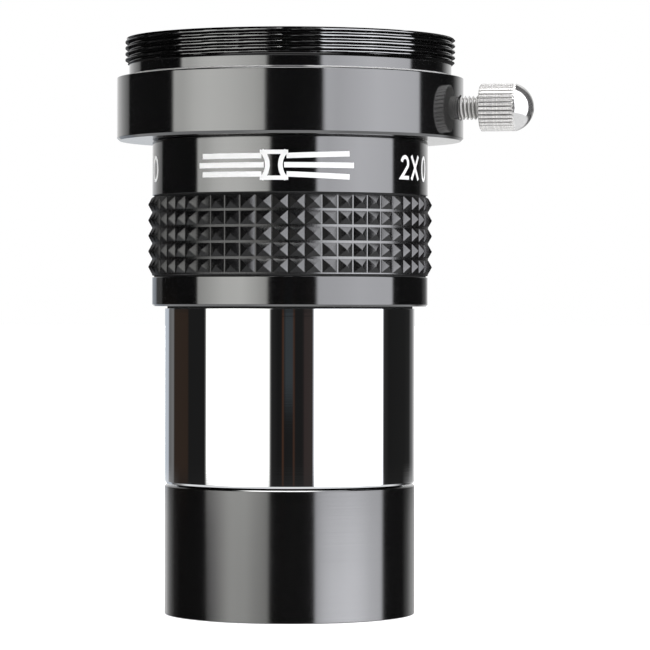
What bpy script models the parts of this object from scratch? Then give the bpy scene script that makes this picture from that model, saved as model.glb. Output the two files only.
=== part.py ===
"""A 2x barlow lens for a telescope: an eyepiece socket with a camera thread, a grip body,
a 1.25 inch nosepiece and a screw-in lens cell.

Frame: metres, +Z up. The optical axis is the Z axis and z = 0 is the shoulder, the lower face
of the grip body, which stops against a focuser. The eyepiece end is +Z, the lens cell is -Z.
Sizes below are in millimetres; those ending in _R are radii, and bare places are heights on Z.
"""

import math

import bmesh
import bpy
from mathutils import Vector

for old in list(bpy.data.objects):
    bpy.data.objects.remove(old, do_unlink=True)

MM = 0.001
SEG = 72  # facets of the large turned pieces
SMALL_SEG = 48  # facets of the pieces inside
RADIAL_FIT = 0.10  # radial gap between a piece and the one it sits in
END_GAP = 0.05  # gap along Z between stacked pieces

# --- eyepiece end: collar with an M42 x 0.75 camera thread ---
COLLAR_TOP = 33.78
THREAD_CREST_R = 20.95
THREAD_ROOT_R = 20.45
THREAD_PITCH = 0.75
THREAD_NECK_TOP = 30.40
THREAD_START_Z = 30.68
THREAD_START_DEG = 120.0
THREAD_STEPS = int(2.96 * SEG)  # facets walked by the helix
THREAD_CHAMFER_HEIGHT = 0.38
THREAD_CHAMFER_SLOPE = 1.2  # crest radius lost per unit of height
FLANGE_R = 22.00
FLANGE_TOP = 28.65
FLANGE_BOTTOM = 20.80
FLANGE_TOP_CHAMFER = 0.25
FLANGE_BOTTOM_CHAMFER = 0.32
SOCKET_R = 15.90  # takes a 31.7 mm eyepiece barrel
SOCKET_CHAMFER = 0.50
SKIRT_R = 16.75
SKIRT_BOTTOM = 15.50
RING_GROOVE_R = 16.90
RING_GROOVE = (23.00, 26.60)

# --- split ring pressed on the eyepiece by the thumbscrew ---
RING_R = (SOCKET_R + 0.05, 16.50)
RING_GROOVE_GAP = 0.30
RING_Z = (RING_GROOVE[0] + RING_GROOVE_GAP, RING_GROOVE[1] - RING_GROOVE_GAP)
RING_SPLIT = 1.50
RING_STEPS = 56

# --- thumbscrew, M3 x 0.5, radial; places are distances from the optical axis ---
SCREW_Z = 24.85
SCREW_TURN = math.radians(77.0)  # from -Y towards +X
SCREW_DIR = Vector((math.sin(SCREW_TURN), -math.cos(SCREW_TURN), 0.0))
SCREW_HOLE_R = 1.65
SCREW_HOLE_CENTRE = 20.3
SCREW_HOLE_LENGTH = 8.0
SHANK_R = 1.50
SHANK_ROOT_R = 1.20
SHANK_PITCH = 0.50
SHANK_END = 19.55
SHANK_CHAMFER = (0.10, 0.12)  # radial, along the screw
SHANK_THREAD_START = SHANK_END + 0.20
SHANK_THREAD_END = 24.58
SHANK_SEG = 16
TIP_R = 1.00
TIP_CHAMFER = 0.20
TIP = (18.70, SHANK_END - 0.05)
KNOB_R = 3.00
KNOB_BACK = 24.70
KNOB_BACK_CHAMFER = (0.30, 0.20)  # radial, along the screw
KNOB_SHOULDER = 29.00
KNOB_SHOULDER_BAND = 0.05  # the flutes stop this far below the shoulder, the dome starts above
KNOB_END = 31.30
KNOB_FLUTES = 32
KNOB_FLUTE_DEPTH = 0.17
DOME_INSET = 0.12
DOME_STEPS = 3

# --- grip body and its rubber ring ---
BODY_R = 17.50
BODY_TOP = FLANGE_BOTTOM - END_GAP
BODY_BOTTOM_CHAMFER = 0.25
BODY_TOP_CHAMFER = 0.20
SKIRT_SEAT_Z = SKIRT_BOTTOM - 0.20
GRIP_SEAT = (3.52, 13.87)
GRIP_SEAT_R = 16.75
RUBBER_END_GAP = 0.06
RUBBER_Z = (GRIP_SEAT[0] + RUBBER_END_GAP, GRIP_SEAT[1] - RUBBER_END_GAP)
RUBBER_IN_R = GRIP_SEAT_R + RADIAL_FIT
RUBBER_BASE_R = 17.42
RUBBER_TIP_R = 18.05
GRIP_COLUMNS = 54
GRIP_ROWS = 5
GRIP_START_DEG = 270.0  # the -Y direction
GRIP_FIRST_Z = 3.86  # lower edge of the lowest row of pyramids
GRIP_ROW_PITCH = 1.969
NOSE_SEAT_R = 15.35
NOSE_SEAT_TOP = 5.00
NOSE_RECESS_TOP = 0.35  # the nose barrel's full radius enters the body up to here

# --- nosepiece ---
NOSE_R = 15.85
NOSE_BOTTOM = -22.45
NOSE_CHAMFER = 0.30
NOSE_BORE_R = 13.70
SPIGOT_R = NOSE_SEAT_R - RADIAL_FIT
SPIGOT_BOTTOM = NOSE_RECESS_TOP - END_GAP
SPIGOT_TOP = NOSE_SEAT_TOP - END_GAP
FILTER_THREAD_R = 14.35  # threads modelled as plain bores
NOSE_THREAD_TOP = -17.20

# --- glare stop in the nose bore ---
STOP_TOP = -8.0
STOP_THICKNESS = 1.6
STOP_LAND = 0.3  # height of the narrowest part
STOP_APERTURE_R = 11.0
STOP_LOWER_R = 12.0

# --- lens cell ---
CELL_TOP = NOSE_BOTTOM - 0.10
CELL_BOTTOM = -39.05
CELL_TOP_CHAMFER = 0.10
CELL_BOTTOM_CHAMFER = 0.20
CELL_SPIGOT_R = 14.20
CELL_SPIGOT_TOP = -17.80
CELL_SPIGOT_CHAMFER = 0.30
LENS_POCKET_R = 13.00
CELL_THREAD_TOP = -35.60  # filter thread below this
LENS_LEDGE_R = 11.80
LENS_LEDGE = (-25.50, -27.00)  # top, bottom

# --- lens pair ---
LENS_R = LENS_POCKET_R - RADIAL_FIT
END_FACE_R = 11.9  # edge of the curved part of the two outward faces
UPPER_TOP = LENS_LEDGE[1] - END_GAP
UPPER_BOTTOM = -31.40
LOWER_TOP = UPPER_BOTTOM - END_GAP
LOWER_BOTTOM = -32.90
TOP_CURVE, INNER_CURVE, BOTTOM_CURVE = 75.0, 45.0, 90.0  # radii of curvature
LENS_STEPS = 3

# --- retaining ring below the lens pair ---
RETAINER_Z = (-35.00, LOWER_BOTTOM - END_GAP)
RETAINER_BORE_R = 11.6
RETAINER_MOUTH_R = 12.0
RETAINER_MOUTH_HEIGHT = 0.5
SLOT_SIZE = (30.0, 1.2, 1.6)
SLOT_Z = RETAINER_Z[0] - 0.1
SLOT_TURN_DEG = 31.0


def material(name, colour, roughness, metallic, alpha=1.0):
    mat = bpy.data.materials.new(name)
    mat.use_nodes = True
    inputs = mat.node_tree.nodes["Principled BSDF"].inputs
    inputs["Base Color"].default_value = (*colour, 1.0)
    inputs["Roughness"].default_value = roughness
    inputs["Metallic"].default_value = metallic
    inputs["Alpha"].default_value = alpha
    return mat


BLACK_GLOSS = material(
    "black_anodised", colour=(0.012, 0.012, 0.013), roughness=0.18, metallic=0.6
)
BLACK_SATIN = material("satin_black", colour=(0.020, 0.020, 0.022), roughness=0.40, metallic=0.5)
CHROME = material("chrome_plate", colour=(0.80, 0.80, 0.81), roughness=0.06, metallic=1.0)
NICKEL = material("nickel_plate", colour=(0.72, 0.71, 0.69), roughness=0.15, metallic=1.0)
RUBBER = material("grip_rubber", colour=(0.035, 0.035, 0.037), roughness=0.55, metallic=0.0)
BRASS = material("ring_brass", colour=(0.72, 0.52, 0.22), roughness=0.28, metallic=1.0)
MATT_BLACK = material("matt_black", colour=(0.015, 0.015, 0.015), roughness=0.85, metallic=0.0)
GLASS = material(
    "coated_glass", colour=(0.80, 0.90, 0.86), roughness=0.02, metallic=0.0, alpha=0.35
)


def link_object(name, bm):
    """Moves a bmesh in metres into a new object in the scene."""
    mesh = bpy.data.meshes.new(name)
    bm.to_mesh(mesh)
    bm.free()
    ob = bpy.data.objects.new(name, mesh)
    bpy.context.scene.collection.objects.link(ob)
    return ob


def finish(name, bm, mat, sharp_angle=30.0):
    """Makes a piece, shaded smooth with its machined edges kept sharp."""
    bmesh.ops.recalc_face_normals(bm, faces=bm.faces)
    ob = link_object(name, bm)
    ob.data.materials.append(mat)
    ob.data.shade_smooth()
    ob.data.set_sharp_from_angle(angle=math.radians(sharp_angle))
    return ob


def turned(profile, segments=SEG):
    """Spins a closed outline of (radius, z) points about Z."""
    bm = bmesh.new()
    verts = [bm.verts.new((r * MM, 0.0, z * MM)) for r, z in profile]
    edges = [bm.edges.new((a, b)) for a, b in zip(verts, verts[1:] + verts[:1])]
    # An edge along the axis would sweep no surface.
    edges = [e for e in edges if max(v.co.x for v in e.verts) > 1e-7]
    bmesh.ops.spin(
        bm, geom=verts + edges, cent=(0, 0, 0), axis=(0, 0, 1),
        angle=2 * math.pi, steps=segments, use_merge=True,
    )
    bmesh.ops.remove_doubles(bm, verts=bm.verts, dist=1e-7)
    loose = [e for e in bm.edges if not e.link_faces]
    bmesh.ops.delete(bm, geom=loose, context="EDGES")
    return bm


def polar_vert(bm, radius, angle, z):
    return bm.verts.new((radius * MM * math.cos(angle), radius * MM * math.sin(angle), z * MM))


def ring(bm, radius, z, segments, start_deg=0.0):
    start = math.radians(start_deg)
    return [
        polar_vert(bm, radius, start + 2 * math.pi * k / segments, z) for k in range(segments)
    ]


def join_rings(bm, a, b):
    n = len(a)
    for k in range(n):
        q = (k + 1) % n
        bm.faces.new((a[k], a[q], b[q], b[k]))


def join_stack(bm, rings):
    for a, b in zip(rings, rings[1:]):
        join_rings(bm, a, b)


def helical_wall(bm, low, high, z_start, pitch, steps, root_r, crest_r, fade,
                 start_deg=0.0, limit=None):
    """A right-hand external V thread between two rings of vertices that start at start_deg.

    Root and crest vertices climb one pitch a turn. The crest fades into the root over the
    first and last `fade` facets, so that the wall closes on itself. limit(z), if given, is
    the largest radius a crest may have, for a chamfered end.
    """
    seg = len(low)
    start = math.radians(start_deg)

    def vert(radius, k, z):
        return polar_vert(bm, radius, start + 2 * math.pi * k / seg, z)

    root = [vert(root_r, k, z_start + pitch * k / seg) for k in range(steps + seg + 1)]
    crest = []
    for k in range(steps + 1):
        z = z_start + pitch * (k / seg + 0.5)
        radius = root_r + (crest_r - root_r) * min(1.0, k / fade, (steps - k) / fade)
        if limit:
            radius = max(root_r, min(radius, limit(z)))
        crest.append(vert(radius, k, z))
    for k in range(steps):
        bm.faces.new((root[k], root[k + 1], crest[k + 1], crest[k]))
        bm.faces.new((crest[k], crest[k + 1], root[k + 1 + seg], root[k + seg]))

    # The first turn of root meets the low ring, the last turn meets the high ring. The
    # six-sided faces close the step where the helix starts and ends.
    for k in range(seg - 1):
        bm.faces.new((low[k], low[k + 1], root[k + 1], root[k]))
    bm.faces.new((low[-1], low[0], root[0], crest[0], root[seg], root[seg - 1]))
    for k in range(steps + 1, steps + seg):
        bm.faces.new((root[k], root[k + 1], high[(k + 1) % seg], high[k % seg]))
    bm.faces.new((
        root[steps], root[steps + 1], high[(steps + 1) % seg], high[steps % seg],
        root[steps + seg], crest[steps],
    ))


def cut(target, name, bm):
    """Subtracts a bmesh from the target through a hidden helper object, which is returned."""
    cutter = link_object(name, bm)
    cutter.hide_render = True
    cutter.display_type = "WIRE"
    mod = target.modifiers.new("cut_" + name, "BOOLEAN")
    mod.operation = "DIFFERENCE"
    mod.solver = "EXACT"
    mod.object = cutter
    return cutter


def point_along_screw(ob):
    """Turns an object built along Z to lie along the thumbscrew."""
    ob.rotation_mode = "QUATERNION"
    ob.rotation_quaternion = Vector((0, 0, 1)).rotation_difference(SCREW_DIR)


def on_screw_axis(ob):
    """Lays an object on the thumbscrew's axis, with its origin on the optical axis."""
    ob.location = (0.0, 0.0, SCREW_Z * MM)
    point_along_screw(ob)


def cut_screw_hole(collar):
    bm = bmesh.new()
    bmesh.ops.create_cone(
        bm, cap_ends=True, segments=24,
        radius1=SCREW_HOLE_R * MM, radius2=SCREW_HOLE_R * MM, depth=SCREW_HOLE_LENGTH * MM,
    )
    cutter = cut(collar, "screw_hole_cutter", bm)
    cutter.location = (SCREW_DIR * SCREW_HOLE_CENTRE + Vector((0, 0, SCREW_Z))) * MM
    point_along_screw(cutter)


def make_collar():
    """Flange, neck and camera thread outside; eyepiece socket, ring groove and skirt inside."""
    # (radius, z), from below the thread down the outside and up the inside
    outline = [
        (THREAD_ROOT_R, THREAD_NECK_TOP),
        (THREAD_ROOT_R, FLANGE_TOP),
        (FLANGE_R - FLANGE_TOP_CHAMFER, FLANGE_TOP),
        (FLANGE_R, FLANGE_TOP - FLANGE_TOP_CHAMFER),
        (FLANGE_R, FLANGE_BOTTOM + FLANGE_BOTTOM_CHAMFER),
        (FLANGE_R - FLANGE_BOTTOM_CHAMFER, FLANGE_BOTTOM),
        (SKIRT_R, FLANGE_BOTTOM),
        (SKIRT_R, SKIRT_BOTTOM),
        (SOCKET_R, SKIRT_BOTTOM),
        (SOCKET_R, RING_GROOVE[0]),
        (RING_GROOVE_R, RING_GROOVE[0]),
        (RING_GROOVE_R, RING_GROOVE[1]),
        (SOCKET_R, RING_GROOVE[1]),
        (SOCKET_R, COLLAR_TOP - SOCKET_CHAMFER),
        (SOCKET_R + SOCKET_CHAMFER, COLLAR_TOP),
        (THREAD_ROOT_R + 0.05, COLLAR_TOP),
    ]

    def chamfer_r(z):
        above = max(0.0, z - (COLLAR_TOP - THREAD_CHAMFER_HEIGHT))
        return THREAD_CREST_R - THREAD_CHAMFER_SLOPE * above

    bm = bmesh.new()
    rings = [ring(bm, r, z, SEG, THREAD_START_DEG) for r, z in outline]
    join_stack(bm, rings)
    helical_wall(
        bm, rings[0], rings[-1], z_start=THREAD_START_Z, pitch=THREAD_PITCH,
        steps=THREAD_STEPS, root_r=THREAD_ROOT_R, crest_r=THREAD_CREST_R, fade=6,
        start_deg=THREAD_START_DEG, limit=chamfer_r,
    )
    cut_screw_hole(finish("thread_collar", bm, BLACK_GLOSS))


def make_compression_ring():
    """A thin split ring: an open arc whose gap lies opposite the thumbscrew."""
    bm = bmesh.new()
    gap_angle = math.atan2(-SCREW_DIR.y, -SCREW_DIR.x)
    half_gap = 0.5 * RING_SPLIT / RING_R[0]
    section = [
        (RING_R[0], RING_Z[0]), (RING_R[1], RING_Z[0]),
        (RING_R[1], RING_Z[1]), (RING_R[0], RING_Z[1]),
    ]
    slices = []
    for k in range(RING_STEPS + 1):
        angle = gap_angle + half_gap + (2 * math.pi - 2 * half_gap) * k / RING_STEPS
        slices.append([polar_vert(bm, r, angle, z) for r, z in section])
    join_stack(bm, slices)
    bm.faces.new(slices[0])
    bm.faces.new(slices[-1])
    finish("compression_ring", bm, BRASS)


def add_shank(bm):
    """Threaded shank with a chamfered inner end; returns its open ring at the knob."""
    end = ring(bm, SHANK_ROOT_R - SHANK_CHAMFER[0], SHANK_END, SHANK_SEG)
    low = ring(bm, SHANK_ROOT_R, SHANK_END + SHANK_CHAMFER[1], SHANK_SEG)
    high = ring(bm, SHANK_ROOT_R, KNOB_BACK, SHANK_SEG)
    bm.faces.new(end)
    join_rings(bm, end, low)
    turns = (SHANK_THREAD_END - SHANK_THREAD_START) / SHANK_PITCH - 1.0
    helical_wall(
        bm, low, high, z_start=SHANK_THREAD_START, pitch=SHANK_PITCH,
        steps=int(turns * SHANK_SEG), root_r=SHANK_ROOT_R, crest_r=SHANK_R, fade=4,
    )
    return high


def add_knob(bm):
    """Knurled head with a domed outer end; returns its open ring at the shank."""
    n = 2 * KNOB_FLUTES
    levels = [ring(bm, KNOB_R - KNOB_BACK_CHAMFER[0], KNOB_BACK, n)]
    for z in (KNOB_BACK + KNOB_BACK_CHAMFER[1], KNOB_SHOULDER - KNOB_SHOULDER_BAND):
        level = ring(bm, KNOB_R, z, n)
        for v in level[1::2]:
            v.co.xy *= (KNOB_R - KNOB_FLUTE_DEPTH) / KNOB_R
        levels.append(level)
    dome_base = KNOB_SHOULDER + KNOB_SHOULDER_BAND
    for i in range(1, DOME_STEPS):
        angle = math.radians(90.0 * i / DOME_STEPS)
        radius = (KNOB_R - DOME_INSET) * math.cos(angle)
        z = dome_base + (KNOB_END - dome_base) * math.sin(angle)
        levels.append(ring(bm, radius, z, n))
    join_stack(bm, levels)
    pole = bm.verts.new((0, 0, KNOB_END * MM))
    last = levels[-1]
    for k in range(n):
        bm.faces.new((last[k], last[(k + 1) % n], pole))
    return levels[0]


def make_thumbscrew():
    """Shank and knob, turned about local Z, where z is the distance from the optical axis."""
    bm = bmesh.new()
    loops = (add_shank(bm), add_knob(bm))
    edges = [bm.edges.get(pair) for loop in loops for pair in zip(loop, loop[1:] + loop[:1])]
    bmesh.ops.bridge_loops(bm, edges=edges)
    on_screw_axis(finish("thumbscrew", bm, NICKEL))


def make_tip():
    """Plain point at the inner end of the thumbscrew, facing the compression ring."""
    profile = [
        (0.0, TIP[0]),
        (TIP_R - TIP_CHAMFER, TIP[0]),
        (TIP_R, TIP[0] + TIP_CHAMFER),
        (TIP_R, TIP[1]),
        (0.0, TIP[1]),
    ]
    on_screw_axis(finish("thumbscrew_tip", turned(profile, SHANK_SEG), NICKEL))


def make_grip_body():
    profile = [
        (BODY_R - BODY_BOTTOM_CHAMFER, 0.0),
        (BODY_R, BODY_BOTTOM_CHAMFER),
        (BODY_R, GRIP_SEAT[0]),
        (GRIP_SEAT_R, GRIP_SEAT[0]),
        (GRIP_SEAT_R, GRIP_SEAT[1]),
        (BODY_R, GRIP_SEAT[1]),
        (BODY_R, BODY_TOP - BODY_TOP_CHAMFER),
        (BODY_R - BODY_TOP_CHAMFER, BODY_TOP),
        (SKIRT_R + RADIAL_FIT, BODY_TOP),
        (SKIRT_R + RADIAL_FIT, SKIRT_SEAT_Z),
        (SOCKET_R, SKIRT_SEAT_Z),
        (SOCKET_R, NOSE_SEAT_TOP),
        (NOSE_SEAT_R, NOSE_SEAT_TOP),
        (NOSE_SEAT_R, NOSE_RECESS_TOP),
        (NOSE_R + RADIAL_FIT, NOSE_RECESS_TOP),
        (NOSE_R + RADIAL_FIT, 0.0),
    ]
    finish("grip_body", turned(profile), BLACK_GLOSS)


def make_rubber_grip():
    """A moulded ring covered with rows of four-sided points."""
    bm = bmesh.new()
    n = GRIP_COLUMNS

    def grip_ring(radius, z, columns=0.0):
        return ring(bm, radius, z, n, GRIP_START_DEG + columns * 360.0 / n)

    rows_z = [GRIP_FIRST_Z + GRIP_ROW_PITCH * j for j in range(GRIP_ROWS + 1)]
    inner_low, inner_top = [grip_ring(RUBBER_IN_R, z) for z in RUBBER_Z]
    outer_low, outer_top = [grip_ring(RUBBER_BASE_R, z) for z in RUBBER_Z]
    grid = [grip_ring(RUBBER_BASE_R, z) for z in rows_z]
    join_stack(bm, [grid[-1], outer_top, inner_top, inner_low, outer_low, grid[0]])
    for j in range(GRIP_ROWS):
        tips = grip_ring(RUBBER_TIP_R, 0.5 * (rows_z[j] + rows_z[j + 1]), columns=0.5)
        for k in range(n):
            q = (k + 1) % n
            corners = (grid[j][k], grid[j][q], grid[j + 1][q], grid[j + 1][k])
            for i in range(4):
                bm.faces.new((corners[i], corners[(i + 1) % 4], tips[k]))
    finish("rubber_grip_ring", bm, RUBBER, sharp_angle=20.0)


def make_nose_barrel():
    profile = [
        (NOSE_R - NOSE_CHAMFER, NOSE_BOTTOM),
        (NOSE_R, NOSE_BOTTOM + NOSE_CHAMFER),
        (NOSE_R, SPIGOT_BOTTOM),
        (SPIGOT_R, SPIGOT_BOTTOM),
        (SPIGOT_R, SPIGOT_TOP),
        (NOSE_BORE_R, SPIGOT_TOP),
        (NOSE_BORE_R, NOSE_THREAD_TOP),
        (FILTER_THREAD_R, NOSE_THREAD_TOP),
        (FILTER_THREAD_R, NOSE_BOTTOM),
    ]
    finish("nose_barrel", turned(profile), CHROME)


def make_glare_stop():
    outer_r = NOSE_BORE_R - RADIAL_FIT
    bottom = STOP_TOP - STOP_THICKNESS
    profile = [
        (outer_r, STOP_TOP),
        (outer_r, bottom),
        (STOP_LOWER_R, bottom),
        (STOP_APERTURE_R, STOP_TOP - STOP_LAND),
        (STOP_APERTURE_R, STOP_TOP),
    ]
    finish("glare_stop", turned(profile, SMALL_SEG), MATT_BLACK)


def make_lens_cell():
    profile = [
        (NOSE_R - CELL_BOTTOM_CHAMFER, CELL_BOTTOM),
        (NOSE_R, CELL_BOTTOM + CELL_BOTTOM_CHAMFER),
        (NOSE_R, CELL_TOP - CELL_TOP_CHAMFER),
        (NOSE_R - CELL_TOP_CHAMFER, CELL_TOP),
        (CELL_SPIGOT_R, CELL_TOP),
        (CELL_SPIGOT_R, CELL_SPIGOT_TOP - CELL_SPIGOT_CHAMFER),
        (CELL_SPIGOT_R - CELL_SPIGOT_CHAMFER, CELL_SPIGOT_TOP),
        (LENS_POCKET_R, CELL_SPIGOT_TOP),
        (LENS_POCKET_R, LENS_LEDGE[0]),
        (LENS_LEDGE_R, LENS_LEDGE[0]),
        (LENS_LEDGE_R, LENS_LEDGE[1]),
        (LENS_POCKET_R, LENS_LEDGE[1]),
        (LENS_POCKET_R, CELL_THREAD_TOP),
        (FILTER_THREAD_R, CELL_THREAD_TOP),
        (FILTER_THREAD_R, CELL_BOTTOM),
    ]
    finish("lens_cell", turned(profile), BLACK_SATIN)


def lens_face(curve, edge_r, edge_z, up):
    """(radius, z) points of a spherical face, edge to axis; up is 1 to rise inwards, -1 to sink."""
    points = []
    for i in range(LENS_STEPS + 1):
        r = edge_r * (1 - i / LENS_STEPS)
        sag = math.sqrt(curve**2 - r**2) - math.sqrt(curve**2 - edge_r**2)
        points.append((r, edge_z + up * sag))
    return points


def make_lenses():
    """A negative pair: a biconcave element against the ledge and a meniscus below it."""
    upper = [(LENS_R, UPPER_TOP)]
    upper += lens_face(TOP_CURVE, END_FACE_R, UPPER_TOP, up=-1)
    upper += reversed(lens_face(INNER_CURVE, LENS_R, UPPER_BOTTOM, up=1))
    finish("biconcave_element", turned(upper, SMALL_SEG), GLASS)

    lower = [(LENS_R, LOWER_BOTTOM)]
    lower += lens_face(INNER_CURVE, LENS_R, LOWER_TOP, up=1)
    lower += reversed(lens_face(BOTTOM_CURVE, END_FACE_R, LOWER_BOTTOM, up=1))
    finish("meniscus_element", turned(lower, SMALL_SEG), GLASS)


def make_retaining_ring():
    """Ring that holds the pair in the cell, slotted across its lower face for a spanner."""
    low, high = RETAINER_Z
    profile = [
        (LENS_R, low),
        (LENS_R, high),
        (RETAINER_BORE_R, high),
        (RETAINER_BORE_R, low + RETAINER_MOUTH_HEIGHT),
        (RETAINER_MOUTH_R, low),
    ]
    retainer = finish("lens_retaining_ring", turned(profile, SMALL_SEG), MATT_BLACK)
    bm = bmesh.new()
    bmesh.ops.create_cube(bm, size=1.0)
    bmesh.ops.scale(bm, vec=[s * MM for s in SLOT_SIZE], verts=bm.verts)
    cutter = cut(retainer, "spanner_slot_cutter", bm)
    cutter.location = (0.0, 0.0, SLOT_Z * MM)
    cutter.rotation_euler = (0, 0, math.radians(SLOT_TURN_DEG))


make_collar()
make_compression_ring()
make_thumbscrew()
make_tip()
make_grip_body()
make_rubber_grip()
make_nose_barrel()
make_glare_stop()
make_lens_cell()
make_lenses()
make_retaining_ring()
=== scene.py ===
# A 2x telescope lens barrel, standing upright with its axis on Z. The camera thread is at the
# top, the lens cell at the bottom and the printed face at the front (-Y). The thumbscrew sticks
# out at the right (+X), a little towards the front. Shapes are in millimetres, turned to metres
# by MM as each mesh is made; the materials, the floor and the camera are in metres.
import math

import bmesh
import bpy
import numpy as np
from mathutils import Matrix, Vector


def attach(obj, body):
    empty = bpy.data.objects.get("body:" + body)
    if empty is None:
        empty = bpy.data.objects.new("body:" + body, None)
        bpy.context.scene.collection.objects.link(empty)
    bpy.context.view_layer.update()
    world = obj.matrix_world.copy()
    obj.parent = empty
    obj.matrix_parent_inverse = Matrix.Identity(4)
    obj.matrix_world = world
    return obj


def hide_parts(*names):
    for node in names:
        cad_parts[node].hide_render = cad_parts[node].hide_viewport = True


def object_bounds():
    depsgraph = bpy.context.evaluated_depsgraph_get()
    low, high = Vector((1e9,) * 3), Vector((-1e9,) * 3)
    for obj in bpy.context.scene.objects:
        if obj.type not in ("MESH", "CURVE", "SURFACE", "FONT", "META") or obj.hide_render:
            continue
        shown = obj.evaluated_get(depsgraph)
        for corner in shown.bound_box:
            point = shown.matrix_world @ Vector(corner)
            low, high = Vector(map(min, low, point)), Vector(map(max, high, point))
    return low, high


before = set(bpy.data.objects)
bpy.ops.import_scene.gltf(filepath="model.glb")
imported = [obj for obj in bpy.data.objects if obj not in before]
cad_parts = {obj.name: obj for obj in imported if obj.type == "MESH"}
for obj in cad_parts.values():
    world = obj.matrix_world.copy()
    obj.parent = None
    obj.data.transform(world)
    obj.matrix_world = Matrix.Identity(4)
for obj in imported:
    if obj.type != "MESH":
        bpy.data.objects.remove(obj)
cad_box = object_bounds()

MM = 0.001
TAU = 2.0 * math.pi
FRONT = math.radians(270.0)
scene = bpy.context.scene

# ---------------------------------------------------------------- shared dimensions

BORE_R = 15.95        # bore through the collar and the body
NECK_R = 20.47        # collar neck, also the root of the camera thread
SPLIT_Z = 30.10       # where the flange piece ends and the thread piece starts
BODY_R = 17.50
BAND_LOW, BAND_HIGH = 3.72, 13.66   # groove that holds the rubber ring
CELL_PITCH = 0.60     # thread between the nosepiece and the lens cell

SCREW_TURN = math.radians(77.0)     # from the front towards the right
SCREW_DIR = np.array([math.sin(SCREW_TURN), -math.cos(SCREW_TURN), 0.0])
SCREW_Z = 24.85
UP = np.array([0.0, 0.0, 1.0])
SCREW_AXES = np.stack([np.cross(UP, SCREW_DIR), UP, SCREW_DIR])

# ---------------------------------------------------------------- node graphs


class Graph:
    """Short calls for a shader node tree. An input may be a socket, a number or a tuple."""

    def __init__(self, tree):
        self.tree = tree
        tree.nodes.clear()

    def put(self, socket, value):
        if isinstance(value, bpy.types.NodeSocket):
            self.tree.links.new(value, socket)
        elif value is not None:
            if isinstance(value, tuple) and len(value) == 3 and len(socket.default_value) == 4:
                value = (*value, 1.0)
            socket.default_value = value

    def node(self, kind, **props):
        n = self.tree.nodes.new("ShaderNode" + kind)
        for key, value in props.items():
            setattr(n, key, value)
        return n

    def fill(self, node, *values):
        for socket, value in zip(node.inputs, values):
            self.put(socket, value)
        return node

    def math(self, op, a, b=None, c=None, clamp=False):
        return self.fill(self.node("Math", operation=op, use_clamp=clamp), a, b, c).outputs[0]

    def vmath(self, op, a, b=None):
        n = self.fill(self.node("VectorMath", operation=op), a, b)
        return n.outputs["Value" if op in ("DOT_PRODUCT", "LENGTH") else "Vector"]

    def span(self, value, lo, hi, a=0.0, b=1.0):
        """Smooth step from a at lo to b at hi; lo may be above hi."""
        n = self.node("MapRange", interpolation_type="SMOOTHSTEP")
        n.clamp = True
        for key, x in (("Value", value), ("From Min", lo), ("From Max", hi),
                       ("To Min", a), ("To Max", b)):
            self.put(n.inputs[key], x)
        return n.outputs["Result"]

    def ramp(self, fac, stops):
        n = self.node("ValToRGB")
        n.color_ramp.interpolation = "LINEAR"
        elements = n.color_ramp.elements
        while len(elements) > 1:
            elements.remove(elements[-1])
        for i, (position, colour) in enumerate(stops):
            element = elements.new(position) if i else elements[0]
            element.position = position
            element.color = (*colour, 1.0)
        self.put(n.inputs["Fac"], fac)
        return n.outputs["Color"]

    def mix(self, fac, a, b, blend="MIX"):
        n = self.node("Mix", data_type="RGBA", blend_type=blend)
        self.put(n.inputs[0], fac)
        self.put(n.inputs[6], a)
        self.put(n.inputs[7], b)
        return n.outputs[2]

    def noise(self, vector, scale, detail=2.0, rough=0.5):
        n = self.node("TexNoise")
        self.put(n.inputs["Vector"], vector)
        n.inputs["Scale"].default_value = scale
        n.inputs["Detail"].default_value = detail
        n.inputs["Roughness"].default_value = rough
        return n.outputs["Fac"]

    def combine(self, x, y, z):
        return self.fill(self.node("CombineXYZ"), x, y, z).outputs[0]

    def split(self, vector):
        return self.fill(self.node("SeparateXYZ"), vector).outputs

    def bump(self, height, strength, distance):
        n = self.node("Bump")
        n.inputs["Strength"].default_value = strength
        n.inputs["Distance"].default_value = distance
        self.put(n.inputs["Height"], height)
        return n.outputs["Normal"]

    def position(self):
        return self.node("TexCoord").outputs["Object"]

    def geometry(self, output):
        return self.node("NewGeometry").outputs[output]

    def change_space(self, vector, kind, source, target):
        n = self.node("VectorTransform", vector_type=kind,
                      convert_from=source, convert_to=target)
        return self.fill(n, vector).outputs[0]

    def across(self):
        """How far the surface is turned to the left (-) or right (+) of the camera."""
        normal = self.change_space(self.geometry("Normal"), "NORMAL", "WORLD", "CAMERA")
        return self.split(normal)[0]

    def diffuse(self, colour):
        n = self.node("BsdfDiffuse")
        self.put(n.inputs["Color"], colour)
        return n.outputs[0]

    def blend(self, fac, first, second):
        return self.fill(self.node("MixShader"), fac, first, second).outputs[0]


def node_material(name):
    """A new material's graph, with its output node as .out."""
    material = bpy.data.materials.new(name)
    material.use_nodes = True
    g = Graph(material.node_tree)
    g.material = material
    g.out = g.node("OutputMaterial")
    return g


def principled(name, colour):
    """As node_material, with a principled shader as .shader and its inputs as .inputs."""
    g = node_material(name)
    g.shader = g.node("BsdfPrincipled")
    g.inputs = g.shader.inputs
    g.put(g.out.inputs["Surface"], g.shader.outputs[0])
    g.put(g.inputs["Base Color"], colour)
    g.material.diffuse_color = (*colour, 1.0)
    return g


def along_and_out(g, pos, axis, centre):
    """Distance along an axis, and distance from it."""
    rel = g.vmath("SUBTRACT", pos, centre)
    along = g.vmath("DOT_PRODUCT", rel, axis)
    return along, g.vmath("LENGTH", g.vmath("CROSS_PRODUCT", rel, axis))


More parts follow.
